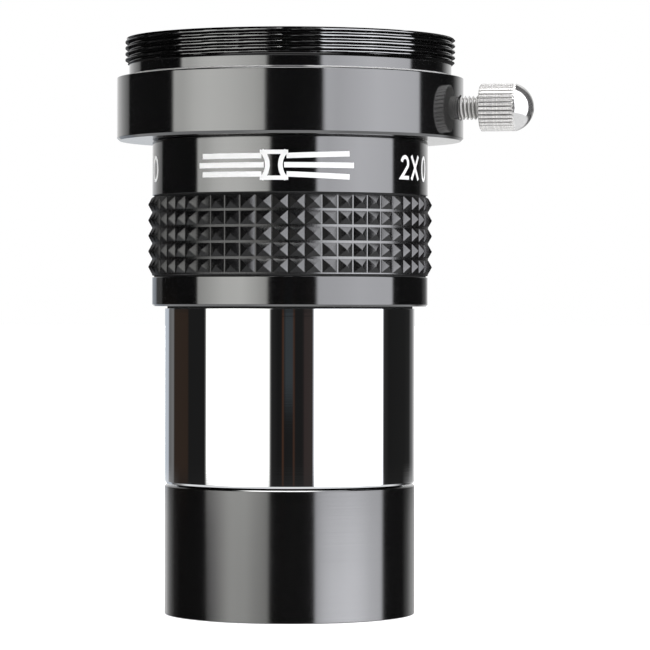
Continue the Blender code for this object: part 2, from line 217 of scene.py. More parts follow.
def turning(g, pos, per_mm, axis=(0.0, 0.0, 1.0), centre=(0.0, 0.0, 0.0)):
    """Fine rings left by the lathe: noise of the height along the axis and the distance
    from it, with a slow drift. per_mm is how many noise cells a millimetre holds."""
    along, out = along_and_out(g, pos, axis, centre)
    drift = g.noise(pos, scale=60.0, detail=1.0)
    x = g.math("MULTIPLY", along, 1000.0 * per_mm)
    y = g.math("MULTIPLY", out, 1000.0 * per_mm)
    cell = g.combine(x, y, g.math("MULTIPLY", drift, 0.6))
    return g.noise(cell, scale=1.0, detail=3.0, rough=0.6)


# ---------------------------------------------------------------- turned metals

RING_DEPTH = 0.00002    # bump distance of the lathe rings, metres
BLACK = (0.0022, 0.0022, 0.0023)


def metal_graph(name, colour, rough, spread, bump, per_mm, metallic=1.0, ior=1.5, tint=None):
    """Turned surface: rings in the roughness and the bump, and slow clouds in the roughness.
    tint is how far the clouds change the colour; without it the base colour stays unlinked."""
    g = principled(name, colour)
    pos = g.position()
    rings = turning(g, pos, per_mm)
    cloud = g.noise(pos, scale=140.0, detail=4.0, rough=0.55)
    if tint is not None:
        dark = tuple(c * (1.0 - tint) for c in colour)
        light = tuple(min(1.0, c * (1.0 + tint)) for c in colour)
        g.put(g.inputs["Base Color"], g.mix(cloud, dark, light))
    fine = g.span(rings, 0.3, 0.7, -spread, spread)
    slow = g.span(cloud, 0.3, 0.7, rough - 0.5 * spread, rough + 0.5 * spread)
    g.put(g.inputs["Roughness"], g.math("MAXIMUM", g.math("ADD", fine, slow), 0.01))
    g.inputs["Metallic"].default_value = metallic
    g.inputs["IOR"].default_value = ior
    g.put(g.inputs["Normal"], g.bump(rings, bump, RING_DEPTH))
    return g


def metal(*args, **options):
    return metal_graph(*args, **options).material


def make_thread_black():
    """The flanks of the thread are dull, while its crests and roots are polished. Painted shade
    also dulls and darkens the thread where it faces left of the camera.
    """
    g = metal_graph("black_anodised_thread", BLACK, rough=0.03, spread=0.008, metallic=0.0,
                    ior=3.4, bump=0.01, per_mm=9.0, tint=0.12)
    slope = g.math("ABSOLUTE", g.split(g.geometry("True Normal"))[2])
    flank = g.math("MULTIPLY", g.span(slope, 0.30, 0.55), g.span(slope, 0.985, 0.95))
    tone = g.mix(g.noise(g.position(), 500.0), (0.002, 0.002, 0.002), (0.004, 0.004, 0.004))
    dull = g.diffuse(tone)
    # painted shade: dull and dark where the thread faces to the left of the camera
    left = g.span(g.across(), -0.06, -0.12, 0.0, 0.5)
    dullness_and_painted_shade = g.math("MAXIMUM", g.math("MULTIPLY", flank, 0.88), left)
    g.put(g.out.inputs["Surface"], g.blend(dullness_and_painted_shade, g.shader.outputs[0], dull))
    return g.material


def make_cut_edge():
    """Bare cut edge, with painted shade: dark in a strip down the middle and at the far sides, by
    which way it faces the camera.
    """
    g = metal_graph("cut_edge", (0.50, 0.495, 0.485), rough=0.45, spread=0.03, metallic=0.0,
                    bump=0.08, per_mm=9.0)
    # painted shade: the colour goes dark where the edge faces the camera straight on and where it
    # turns far aside
    x = g.math("ABSOLUTE", g.across())
    lit = g.math("MULTIPLY", g.span(x, 0.06, 0.11), g.span(x, 0.80, 0.72))
    cloud = g.noise(g.position(), 500.0)
    bare = g.mix(cloud, (0.47, 0.465, 0.455), (0.53, 0.525, 0.515))
    g.put(g.inputs["Base Color"], g.mix(lit, (0.10, 0.10, 0.10), bare))
    return g.material


def make_nickel():
    """Bright on the polished dome, duller on the knurl and the thread. Painted shade darkens the
    grooves and thread roots, the outline, faces that look up off the dome, and the screw's image
    in mirrors.
    """
    g = principled("nickel_plate", (0.6, 0.59, 0.57))
    pos = g.position()
    axis, centre = tuple(SCREW_DIR), (0.0, 0.0, SCREW_Z * MM)
    along, out = along_and_out(g, pos, axis, centre)
    rings = turning(g, pos, per_mm=8.0, axis=axis, centre=centre)
    cloud = g.noise(pos, scale=700.0, detail=4.0, rough=0.6)
    # parts of the screw by distance along its axis and from it, in metres
    dome = g.span(along, 0.02885, 0.02925)
    shank = g.span(along, 0.02480, 0.02465)
    knurl_crest = g.span(out, 0.00272, 0.00294)
    thread_crest = g.span(out, 0.00120, 0.00138)
    # painted shade: the knurl's grooves and the thread's roots are coloured dark, their crests
    # light
    knurl = g.mix(knurl_crest, (0.28, 0.272, 0.263), (0.67, 0.66, 0.647))
    thread = g.mix(thread_crest, (0.16, 0.155, 0.15), (0.86, 0.85, 0.83))
    base = g.mix(dome, knurl, (0.80, 0.79, 0.78))
    base = g.mix(shank, base, thread)
    base = g.mix(g.span(cloud, 0.25, 0.75, 0.0, 0.10), base, (0.45, 0.44, 0.42))
    mirrored = g.node("LightPath").outputs["Is Glossy Ray"]
    # painted shade: darker towards the outline, where the surface turns away from the view
    edge = g.node("LayerWeight")
    edge.inputs["Blend"].default_value = 0.5
    grazing = g.span(edge.outputs["Facing"], 0.55, 0.95, 0.0, 0.62)
    base = g.mix(grazing, base, (0.12, 0.118, 0.115))
    # painted shade: surfaces that face up are darker and less metallic, except on the dome
    facing_up = g.span(g.split(g.geometry("Normal"))[2], 0.15, 0.70, 0.0, 0.68)
    off_dome = g.math("SUBTRACT", 1.0, dome)
    base = g.mix(g.math("MULTIPLY", facing_up, off_dome), base, (0.25, 0.245, 0.24))
    # painted shade on its reflection: for mirror rays the plating turns darker and duller, so its
    # image in the black gloss is dimmer
    base = g.mix(mirrored, base, (0.32, 0.316, 0.312))
    g.put(g.inputs["Base Color"], base)
    plating = g.math("MULTIPLY_ADD", dome, 0.48, 0.44, clamp=True)
    painted_top_shade = g.math("MULTIPLY", facing_up,
                      g.math("MULTIPLY_ADD", dome, -1.4, 1.4, clamp=True))
    kept = g.math("SUBTRACT", 1.0, g.math("MAXIMUM", mirrored, painted_top_shade))
    g.put(g.inputs["Metallic"], g.math("MULTIPLY", plating, kept))
    rough = g.mix(dome, (0.26, 0.26, 0.26), (0.07, 0.07, 0.07))
    rough = g.math("ADD", rough, g.span(rings, 0.3, 0.7, -0.02, 0.03))
    g.put(g.inputs["Roughness"], g.math("MAXIMUM", rough, g.math("MULTIPLY", mirrored, 0.8)))
    g.put(g.inputs["Normal"], g.bump(rings, 0.06, RING_DEPTH))
    return g.material


# ---------------------------------------------------------------- rubber, matt, glass, paint

RUBBER_DARK, RUBBER_LIGHT = (0.0035, 0.0035, 0.0037), (0.0062, 0.0060, 0.0060)


def make_rubber():
    """Glossy rubber blended with a dull one. The share of gloss depends on the facet and on
    the direction that the surface mirrors; cutting it by that direction is painted shade."""
    g = principled("grip_rubber", (0.0045, 0.0045, 0.0047))
    pos = g.position()
    cloud = g.noise(pos, scale=260.0, detail=4.0, rough=0.6)
    grain = g.noise(pos, scale=9000.0, detail=3.0, rough=0.65)
    g.put(g.inputs["Base Color"], g.mix(cloud, RUBBER_DARK, RUBBER_LIGHT))
    g.put(g.inputs["Roughness"], g.math("ADD", g.span(cloud, 0.3, 0.7, 0.19, 0.24),
                                        g.span(grain, 0.3, 0.7, -0.02, 0.03)))
    g.inputs["IOR"].default_value = 2.35
    # phi is the mirrored direction in degrees, 0 behind the camera and positive to its right
    mirror = g.node("TexCoord").outputs["Reflection"]
    seen = g.split(g.change_space(mirror, "VECTOR", "WORLD", "CAMERA"))
    under = g.span(g.split(mirror)[2], -0.30, -0.50)
    phi = g.math("ARCTAN2", seen[0], g.math("MULTIPLY", seen[2], -1.0))
    phi = g.math("MULTIPLY", phi, 57.29578)
    left = g.math("MULTIPLY", g.span(phi, -8.0, -22.0), g.span(phi, -118.0, -100.0))
    beyond = g.span(g.math("ABSOLUTE", phi), 118.0, 136.0)
    # the sides of the pyramids are duller than the smooth lands between them
    radial = g.vmath("NORMALIZE", g.vmath("MULTIPLY", pos, (1.0, 1.0, 0.0)))
    outward = g.vmath("DOT_PRODUCT", radial, g.geometry("True Normal"))
    facet = g.span(outward, 0.975, 0.93)
    tangent = g.vmath("CROSS_PRODUCT", (0.0, 0.0, 1.0), radial)
    sideways = g.vmath("DOT_PRODUCT", tangent, g.geometry("True Normal"))
    one_side = g.math("MULTIPLY", facet, g.span(sideways, -0.12, -0.30))
    gloss = g.math("MULTIPLY_ADD", facet, -0.42, 1.0)
    # painted shade: where the surface mirrors the left, facets on one side of the pyramids keep
    # little of their gloss
    on_left = g.math("MULTIPLY", g.math("MULTIPLY_ADD", facet, 0.32, 0.36),
                     g.math("MULTIPLY_ADD", one_side, -0.9, 1.0))
    by_side = g.math("ADD", g.math("SUBTRACT", 1.0, left), g.math("MULTIPLY", left, on_left))
    gloss = g.math("MULTIPLY", gloss, by_side)
    # painted shade: less gloss where the surface mirrors the middle behind the camera, the ground
    # below and the far back
    middle = g.math("MULTIPLY", g.span(phi, -26.0, -12.0), g.span(phi, 26.0, 14.0))
    for region, change in ((middle, -0.30), (under, -0.5), (beyond, -0.72)):
        gloss = g.math("MULTIPLY", gloss, g.math("MULTIPLY_ADD", region, change, 1.0))
    dull = g.diffuse(g.mix(cloud, RUBBER_DARK, RUBBER_LIGHT))
    g.put(g.out.inputs["Surface"], g.blend(gloss, dull, g.shader.outputs[0]))
    g.put(g.inputs["Normal"], g.bump(grain, strength=0.09, distance=0.00004))
    return g.material


def make_matt():
    g = principled("matt_black", (0.01, 0.01, 0.01))
    pos = g.position()
    grain = g.noise(pos, scale=5200.0, detail=3.0, rough=0.7)
    cloud = g.noise(pos, scale=300.0, detail=3.0)
    g.put(g.inputs["Base Color"], g.mix(cloud, (0.007, 0.007, 0.0072), (0.015, 0.0148, 0.0145)))
    g.put(g.inputs["Roughness"], g.span(grain, 0.3, 0.7, 0.62, 0.80))
    g.put(g.inputs["Normal"], g.bump(grain, strength=0.5, distance=0.00003))
    return g.material


def make_glass():
    """Clear glass with a thin green coating."""
    g = principled("coated_glass", (0.985, 0.99, 0.985))
    cloud = g.noise(g.position(), scale=90.0)
    g.put(g.inputs["Base Color"], g.mix(cloud, (0.97, 0.985, 0.975), (0.985, 0.985, 0.99)))
    g.put(g.inputs["Roughness"], g.span(cloud, 0.3, 0.7, 0.004, 0.012))
    for key, value in (("Transmission Weight", 1.0), ("IOR", 1.6),
                       ("Specular Tint", (0.42, 0.72, 0.55, 1.0)),
                       ("Thin Film Thickness", 130.0), ("Thin Film IOR", 1.38)):
        g.inputs[key].default_value = value
    return g.material


def make_paint():
    g = principled("marking_white", (0.8, 0.8, 0.79))
    pos = g.position()
    cloud = g.noise(pos, scale=800.0, detail=3.0)
    fine = g.noise(pos, scale=7000.0)
    g.put(g.inputs["Base Color"], g.mix(cloud, (0.76, 0.76, 0.75), (0.86, 0.86, 0.86)))
    g.put(g.inputs["Roughness"], g.span(fine, 0.3, 0.7, 0.42, 0.55))
    g.put(g.inputs["Normal"], g.bump(fine, strength=0.2, distance=0.00001))
    return g.material


black = metal("black_anodised", BLACK, rough=0.08, spread=0.012, metallic=0.0, ior=2.2,
              bump=0.035, per_mm=9.0, tint=0.12)
thread_black = make_thread_black()
cut_edge = make_cut_edge()
satin = metal("satin_black", (0.0022, 0.0022, 0.0022), rough=0.115, spread=0.015,
              metallic=0.0, ior=1.98, bump=0.05, per_mm=12.0, tint=0.12)
chrome = metal("chrome_plate", (0.87, 0.875, 0.885), rough=0.016, spread=0.008, bump=0.02,
               per_mm=6.0, tint=0.012)
inner_black = metal("socket_black", (0.014, 0.014, 0.015), rough=0.34, spread=0.05,
                    metallic=0.0, ior=1.7, bump=0.25, per_mm=5.0, tint=0.2)
nickel = make_nickel()
brass = metal("ring_brass", (0.74, 0.56, 0.25), rough=0.24, spread=0.05, bump=0.15,
              per_mm=10.0, tint=0.07)
rubber = make_rubber()
matt = make_matt()
glass = make_glass()
paint = make_paint()

# ---------------------------------------------------------------- outlines

ARC_STEP = 12.0    # degrees between the points of a fillet
SUPPORT = 0.03     # distance of the extra loop beyond each end of a fillet


def rounded(points):
    """Rounds the corners of a closed outline of (radius, height) or (radius, height, fillet).
    A loop just beyond each end of an arc keeps the flat faces' shading flat."""
    out = []
    corners = [(*p, 0.0)[:3] for p in points]
    for k, corner in enumerate(corners):
        p, fillet = np.array(corner[:2]), corner[2]
        if fillet <= 0.0:
            out.append(tuple(p))
            continue
        u = np.array(corners[k - 1][:2]) - p
        v = np.array(corners[(k + 1) % len(corners)][:2]) - p
        u_length, v_length = np.linalg.norm(u), np.linalg.norm(v)
        u, v = u / u_length, v / v_length
        angle = math.acos(max(-1.0, min(1.0, float(u @ v))))
        cut = fillet / math.tan(angle / 2)
        cut_max = 0.45 * min(u_length, v_length)
        if cut > cut_max:
            fillet, cut = fillet * cut_max / cut, cut_max
        centre = p + (u + v) / np.linalg.norm(u + v) * fillet / math.sin(angle / 2)
        first = math.atan2(*(p + u * cut - centre)[::-1])
        last = math.atan2(*(p + v * cut - centre)[::-1])
        turn = (last - first + math.pi) % TAU - math.pi
        steps = max(2, int(math.ceil(abs(math.degrees(turn)) / ARC_STEP)))
        if u_length - cut > 2.2 * SUPPORT:
            out.append(tuple(p + u * (cut + SUPPORT)))
        for s in range(steps + 1):
            a = first + turn * s / steps
            out.append((centre[0] + fillet * math.cos(a), centre[1] + fillet * math.sin(a)))
        if v_length - cut > 2.2 * SUPPORT:
            out.append(tuple(p + v * (cut + SUPPORT)))
    return out


def helix(crest_r, root_r, pitch, crest_z, crest_flat, root_flat=0.07):
    """A 60 degree thread. Returns at(z), which gives the radius as a function of the angle,
    held between low and high. crest_z is a crest's height at angle 0; the flats are half
    the widths of the crest and the root."""
    slope = (crest_r - root_r) / (0.5 * pitch - crest_flat - root_flat)

    def at(z, low=0.0, high=np.inf):
        def radius(angle):
            turns = (z - crest_z - pitch * angle / TAU) / pitch
            off_crest = np.abs(turns - np.round(turns)) * pitch
            flank = np.clip(crest_r - (off_crest - crest_flat) * slope, root_r, crest_r)
            return np.clip(flank, low, high)
        return radius
    return at


def heights(start, stop, step):
    z = start
    while (stop - z) * step > 0.0:
        yield z
        z += step


# ---------------------------------------------------------------- meshes and pieces


def lathe(points, segs, start=0.0):
    """Turns a closed outline of (radius, height) about Z. A radius may be a function of the
    angle. Returns vertices, faces and the mean (radius, height) of each row."""
    angle = start + np.arange(segs) * TAU / segs
    rows, means = [], []
    for radius, z in points:
        r = radius(angle) if callable(radius) else np.full(segs, radius, float)
        rows.append(np.stack([r * np.cos(angle), r * np.sin(angle), np.full(segs, z, float)], 1))
        means.append((r.mean(), z))
    n = len(points)
    i, j = np.arange(n)[:, None], np.arange(segs)[None, :]
    row, next_row, next_j = i * segs, (i + 1) % n * segs, (j + 1) % segs
    corners = [row + j, row + next_j, next_row + next_j, next_row + j]
    faces = np.stack(corners, -1).reshape(-1, 4)
    means = np.array(means)
    ahead = np.roll(means, -1, axis=0)
    if np.sum(means[:, 0] * ahead[:, 1] - ahead[:, 0] * means[:, 1]) < 0:
        faces = faces[:, ::-1]
    return np.concatenate(rows), faces, means


def on_screw_axis(verts):
    """Moves points so that their Z runs out along the screw and their Y points up."""
    return verts @ SCREW_AXES + np.array([0.0, 0.0, SCREW_Z])


def new_mesh(name, verts, faces):
    mesh = bpy.data.meshes.new(name)
    verts = np.asarray(verts, float) * MM
    faces = np.asarray(faces, np.int32)
    count, size = faces.shape
    mesh.vertices.add(len(verts))
    mesh.vertices.foreach_set("co", verts.ravel())
    mesh.loops.add(faces.size)
    mesh.loops.foreach_set("vertex_index", faces.ravel())
    mesh.polygons.add(count)
    mesh.polygons.foreach_set("loop_start", np.arange(0, faces.size, size, dtype=np.int32))
    mesh.polygons.foreach_set("loop_total", np.full(count, size, np.int32))
    mesh.update(calc_edges=True)
    mesh.validate()
    return mesh


def tidy(mesh, weld=0.0, face_out=False):
    """Merges vertices closer than weld (metres) and turns the faces outwards."""
    bm = bmesh.new()
    bm.from_mesh(mesh)
    if weld:
        bmesh.ops.remove_doubles(bm, verts=bm.verts, dist=weld)
    if face_out:
        bmesh.ops.recalc_face_normals(bm, faces=bm.faces)
    bm.to_mesh(mesh)
    bm.free()


def shade(mesh, sharp):
    """Smooth shading, with edges sharper than `sharp` degrees kept hard."""
    mesh.polygons.foreach_set("use_smooth", np.ones(len(mesh.polygons), bool))
    mesh.set_sharp_from_angle(angle=math.radians(sharp))
    mesh.update()


def piece(name, mesh, mats, body, nodes=(), sharp=32.0, mat_index=None):
    """Adds an object that rides on a CAD body and stands in for the CAD nodes."""
    o = bpy.data.objects.new(name, mesh)
    scene.collection.objects.link(o)
    for m in mats if isinstance(mats, list) else [mats]:
        mesh.materials.append(m)
    if mat_index is not None:
        mesh.polygons.foreach_set("material_index", np.asarray(mat_index, np.int32))
    shade(mesh, sharp)
    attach(o, body)
    if nodes:
        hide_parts(*nodes)
    return o


def turned(name, points, segs, mats, body, nodes=(), pick=None, sharp=32.0,
           on_screw=False):
    """A lathe piece. pick(radius, height) chooses the material of each strip of faces."""
    verts, faces, means = lathe(points, segs)
    index = None
    if pick:
        middles = 0.5 * (means + np.roll(means, -1, axis=0))
        index = np.repeat([pick(r, z) for r, z in middles], segs)
    if on_screw:
        verts = on_screw_axis(verts)
    return piece(name, new_mesh(name, verts, faces), mats, body, nodes, sharp, index)


def carve(target, cutter_mesh):
    """Cuts the mesh out of the target and keeps the result as the target's own mesh."""
    cutter = bpy.data.objects.new(cutter_mesh.name, cutter_mesh)
    scene.collection.objects.link(cutter)
    cut = target.modifiers.new("cut", "BOOLEAN")
    cut.operation, cut.solver, cut.object = "DIFFERENCE", "EXACT", cutter
    bpy.context.view_layer.update()
    graph = bpy.context.evaluated_depsgraph_get()
    carved = bpy.data.meshes.new_from_object(
        target.evaluated_get(graph), preserve_all_data_layers=True, depsgraph=graph)
    target.modifiers.clear()
    old = target.data
    target.data = carved
    bpy.data.meshes.remove(old)
    shade(carved, 32.0)
    bpy.data.objects.remove(cutter, do_unlink=True)


# ---------------------------------------------------------------- collar: flange, neck, thread

# (radius, height, fillet)
FLANGE = [
    (NECK_R, SPLIT_Z), (NECK_R, 29.10), (20.60, 28.93), (20.50, 28.84), (20.50, 28.75),
    (22.00, 28.75, 0.08), (22.00, 21.14, 0.06), (21.68, 20.82, 0.05),
    (16.75, 20.82), (16.75, 15.50), (BORE_R, 15.50, 0.08),
    (BORE_R, 22.98, 0.04), (16.90, 22.98), (16.90, 26.62), (BORE_R, 26.62, 0.04),
    (BORE_R, SPLIT_Z),
]
# (radius, distance out along the screw): the screw's hole and its countersink
SCREW_HOLE = [(0.0001, 15.0), (1.58, 15.0), (1.58, 21.93), (1.72, 22.06), (1.72, 23.5),
              (0.0001, 23.5)]


def flange_material(r, z):
    if r < 17.2:
        return 1
    if r < 20.585 and 28.76 < z < 28.93:
        return 2
    return 3 if 20.48 < r < 20.59 and 28.93 < z < 29.09 else 0


def build_flange():
    flange = turned("collar_flange", rounded(FLANGE), 240, [black, inner_black, matt, cut_edge],
                    "barrel_assembly", ("thread_collar",),
                    pick=flange_material)
    verts, faces, _ = lathe(SCREW_HOLE, 64)
    hole = new_mesh("screw_hole", on_screw_axis(verts), faces)
    tidy(hole, weld=0.0000005, face_out=True)
    carve(flange, hole)


COLLAR_CREST_R = 20.95
COLLAR_PITCH = 0.75
COLLAR_TOP = 33.78
THREAD_START = 30.35    # the crest grows out of the neck above here
THREAD_TAPER = 33.58    # and is chamfered above here


def build_thread():
    thread = helix(COLLAR_CREST_R, NECK_R, COLLAR_PITCH, 31.04 - 0.5 * COLLAR_PITCH,
                   crest_flat=0.075, root_flat=0.055)

    def chamfer(z):
        return COLLAR_CREST_R - 0.9 * max(0.0, z - THREAD_TAPER)

    rows = [(BORE_R, SPLIT_Z), (NECK_R, SPLIT_Z), (NECK_R, SPLIT_Z + 0.03)]
    for z in heights(SPLIT_Z + 0.06, 33.755, 0.03):
        run_in = max(NECK_R, NECK_R + (z - THREAD_START))
        rows.append((thread(z, high=min(run_in, chamfer(z))), z))
    top_r = chamfer(COLLAR_TOP)
    rows += [(top_r + 0.01, COLLAR_TOP - 0.02), (top_r - 0.02, COLLAR_TOP),
             (top_r - 0.05, COLLAR_TOP)]
    # the end face and the bore; the last point only guides the fillet before it
    rows += rounded([(top_r - 0.06, COLLAR_TOP), (BORE_R + 0.5, COLLAR_TOP, 0.05),
                     (BORE_R, COLLAR_TOP - 0.5, 0.05), (BORE_R, SPLIT_Z)])[:-1]
    turned("collar_thread", rows, 512, [thread_black, inner_black, black],
           "barrel_assembly", sharp=50.0,
           pick=lambda r, z: 1 if r < 16.3 else 2 if z < 30.36 else 0)


build_flange()
build_thread()

# ---------------------------------------------------------------- grip body

# (radius, height, fillet)
BODY = [
    (17.26, -0.15, 0.05), (BODY_R, 0.09, 0.05),
    (BODY_R, 3.54, 0.07), (17.27, 3.54), (17.27, BAND_LOW), (16.75, BAND_LOW),
    (16.75, BAND_HIGH), (17.27, BAND_HIGH), (17.27, 13.85), (BODY_R, 13.85, 0.07),
    (BODY_R, 20.67, 0.03), (17.42, 20.75, 0.03), (16.87, 20.75), (16.87, 15.28),
    (BORE_R, 15.28), (BORE_R, 5.02, 0.2), (15.37, 5.02), (15.37, 0.35),
    (BORE_R, 0.35), (BORE_R, -0.15, 0.03),
]


def body_material(r, z):
    if r < 16.0 and z > 0.36:
        return 1
    return 2 if r < 17.3 and 3.5 < z < 13.9 else 0


turned("body_shell", rounded(BODY), 240, [black, inner_black, matt],
       "barrel_assembly", ("grip_body",), pick=body_material)

# ---------------------------------------------------------------- rubber ring

STUD_COLUMNS, STUD_ROWS = 54, 5
STUD_TOP_Z, STUD_STEP_Z = 12.72, 1.97
FIRST_STUD = math.radians(269.4)
RUBBER_R = 17.55
# one pyramid stud, from its hidden foot to its tip: (radius, half width, half height)
STUD = [(17.30, 0.925, 0.83), (RUBBER_R + 0.045, 0.925, 0.83), (18.03, 0.035, 0.035)]


def add_stud(bm, angle, z):
    """Adds one pyramid and returns its faces."""
    levels = []
    for radius, half_w, half_h in STUD:
        level = []
        for side, end in ((-1, -1), (1, -1), (1, 1), (-1, 1)):
            a = angle + side * half_w / RUBBER_R
            level.append(bm.verts.new((radius * math.cos(a) * MM, radius * math.sin(a) * MM,
                                       (z + end * half_h) * MM)))
        levels.append(level)
    faces = []
    for lo, hi in zip(levels, levels[1:]):
        for i in range(4):
            k = (i + 1) % 4
            faces.append(bm.faces.new((lo[i], lo[k], hi[k], hi[i])))
    faces.append(bm.faces.new(levels[-1]))
    return faces


def is_stud_edge(edge):
    """A visible fold of more than 20 degrees."""
    return (len(edge.link_faces) == 2 and edge.calc_face_angle(0.0) > math.radians(20)
            and all(v.co.to_2d().length > (RUBBER_R - 0.05) * MM for v in edge.verts))


def build_rubber():
    band = rounded([
        (16.85, BAND_LOW), (17.46, BAND_LOW, 0.06), (RUBBER_R, 3.86, 0.05),
        (RUBBER_R, 13.52, 0.05), (17.46, BAND_HIGH, 0.06), (16.85, BAND_HIGH),
    ])
    verts, faces, _ = lathe(band, 216, FRONT)
    mesh = new_mesh("rubber_ring", verts, faces)
    bm = bmesh.new()
    bm.from_mesh(mesh)
    studs = []
    for row in range(STUD_ROWS):
        for k in range(STUD_COLUMNS):
            angle = FIRST_STUD + (k + 0.5) * TAU / STUD_COLUMNS
            studs += add_stud(bm, angle, STUD_TOP_Z - STUD_STEP_Z * row)
    bm.normal_update()
    edges = {e for face in studs for e in face.edges if is_stud_edge(e)}
    bmesh.ops.bevel(bm, geom=list(edges), offset=0.022 * MM, segments=2, profile=0.6,
                    affect="EDGES")
    bm.to_mesh(mesh)
    bm.free()
    piece("rubber_grip", mesh, rubber, "barrel_assembly",
          ("rubber_grip_ring",), 40.0)


build_rubber()

# ---------------------------------------------------------------- nosepiece

NOSE_THREAD_R, NOSE_CREST_R = 14.33, 14.03   # the female thread's groove and its crest
NOSE_THREAD_TOP = -17.20
# (radius, height, fillet)
NOSE = [
    (15.745, -22.53, 0.01), (15.86, -22.29, 0.015), (15.86, -0.42, 0.03), (15.58, -0.42),
    (15.58, 0.30), (15.25, 0.30), (15.25, 4.95), (13.72, 4.95),
    (13.72, NOSE_THREAD_TOP), (NOSE_THREAD_R, NOSE_THREAD_TOP), (NOSE_THREAD_R, -22.53, 0.08),
]


def nose_bore(z):
    """Least radius inside, which opens out the thread at both of its ends."""
    if z > -17.55:
        return NOSE_THREAD_R - (z + 17.55)
    return NOSE_CREST_R + 0.8 * max(0.0, -21.9 - z)


def nose_material(r, z):
    if r < 14.9 and z > -22.5:
        return 1
    # painted shade: the relief at the top of the chrome, under the body, gets the matt black as
    # the shade of the seam
    return 2 if r < 15.8 and z > -0.6 else 0


def build_nose():
    thread = helix(NOSE_THREAD_R, NOSE_CREST_R, CELL_PITCH, -20.0, crest_flat=0.05)
    rows = rounded(NOSE)
    start = rows.index((NOSE_THREAD_R, NOSE_THREAD_TOP)) + 1
    rows[start:start] = [(thread(z, low=nose_bore(z)), z) for z in heights(-17.26, -22.3, -0.06)]
    turned("nosepiece", rows, 320, [chrome, inner_black, matt], "barrel_assembly",
           ("nose_barrel",), pick=nose_material, sharp=20.0)


build_nose()

BAFFLE = [(13.60, -8.0), (13.60, -9.6), (12.0, -9.6, 0.05), (11.0, -8.3, 0.03),
          (11.0, -8.0, 0.03)]
turned("baffle", rounded(BAFFLE), 128, matt, "barrel_assembly", ("glare_stop",))

# ---------------------------------------------------------------- lens cell

# (radius, height, fillet); the last point only guides the fillet of the first
CELL_OUTSIDE = [
    (15.80, -39.14, 0.03), (15.89, -39.05, 0.03), (15.89, -22.90, 0.04),
    (15.77, -22.76, 0.03), (14.22, -22.74), (13.90, -22.40), (13.90, -22.00),
]
# the first point only guides the fillet of the second
CELL_INSIDE = [
    (99, 99), (13.85, -17.95, 0.03), (13.75, -17.82, 0.04), (13.0, -17.82, 0.05),
    (13.0, -25.50), (11.8, -25.50, 0.05), (11.8, -27.0), (13.0, -27.0), (13.0, -35.55),
    (14.33, -35.60),
]


def build_cell():
    male = helix(14.20, 13.90, CELL_PITCH, -20.0, crest_flat=0.05)
    female = helix(14.35, 14.05, CELL_PITCH, -37.0, crest_flat=0.05)
    rows = rounded(CELL_OUTSIDE)[:-1]
    for z in heights(-22.02, -18.1, 0.06):
        run_in = 13.90 + 0.9 * (z + 22.02)
        run_out = 14.20 - max(0.0, z + 18.45)
        rows.append((male(z, high=min(run_in, run_out)), z))
    rows += rounded(CELL_INSIDE)[1:]
    rows += [(female(z), z) for z in heights(-35.66, -38.6, -0.06)]
    rows += [(14.36, -38.70), (14.60, -39.08), (14.68, -39.14)]
    turned("cell_shell", rows, 320, [satin, inner_black], "cell_housing",
           ("lens_cell",), sharp=45.0,
           pick=lambda r, z: 1 if (r < 14.5 and z < -22.6) or r < 13.3 else 0)


RETAINER = [(12.90, -32.97, 0.04), (12.90, -34.98, 0.06), (12.05, -34.98, 0.06),
            (11.62, -33.0, 0.03)]
SLOT_ANGLES = (31.0, 211.0)
SLOT_CENTRE = Vector((12.4, 0.0, -35.0)) * MM
SLOT_SIZE = (2.4 * MM, 1.2 * MM, 1.6 * MM, 1.0)


def build_retainer():
    """Ring under the lenses, with two slots in its lower face."""
    retainer = turned("cell_retainer", rounded(RETAINER), 160, inner_black, "cell_housing",
                      ("lens_retaining_ring",))
    slots = bpy.data.meshes.new("slot_cut")
    bm = bmesh.new()
    for angle in SLOT_ANGLES:
        spin = Matrix.Rotation(math.radians(angle), 4, "Z")
        place = spin @ Matrix.Translation(SLOT_CENTRE) @ Matrix.Diagonal(SLOT_SIZE)
        bmesh.ops.create_cube(bm, size=1.0, matrix=place)
    bm.to_mesh(slots)
    bm.free()
    carve(retainer, slots)


build_cell()
build_retainer()

# ---------------------------------------------------------------- lenses

LENS_R = 12.88
LENS_EDGE_R = LENS_R - 0.25    # where the spherical faces end
LENS_STEPS = 24


def lens_face(radius, rim_z):
    """A spherical face from its rim to the axis; it bulges up if the radius is positive."""
    def drop(x):
        return abs(radius) - math.sqrt(radius * radius - x * x)
    points = []
    for i in range(LENS_STEPS + 1):
        x = LENS_EDGE_R * (1.0 - i / LENS_STEPS)
        rise = (drop(LENS_EDGE_R) - drop(x)) * math.copysign(1.0, radius)
        points.append((max(x, 0.001), rim_z + rise))
    return points


def lens(name, node, top_radius, low_radius, top_z, low_z):
    points = [(LENS_R, low_z + 0.12), (LENS_R, top_z - 0.12)]
    points += lens_face(top_radius, top_z) + lens_face(low_radius, low_z)[::-1]
    verts, faces, _ = lathe(points, 128)
    mesh = new_mesh(name, verts, faces)
    tidy(mesh, weld=0.000002)
    piece(name, mesh, glass, "cell_optics", (node,), 40.0)


lens("element_biconcave", "biconcave_element", top_radius=-75.0, low_radius=45.0,
     top_z=-27.05, low_z=-31.40)
lens("element_meniscus", "meniscus_element", top_radius=45.0, low_radius=110.0,
     top_z=-31.45, low_z=-32.90)

# ---------------------------------------------------------------- compression ring

RING = [(BORE_R, 23.32, 0.10), (16.50, 23.32, 0.08), (16.50, 26.28, 0.08),
        (BORE_R, 26.28, 0.10)]
RING_GAP = 1.5 / 16.2    # width of the split over its radius
RING_SEGS = 220


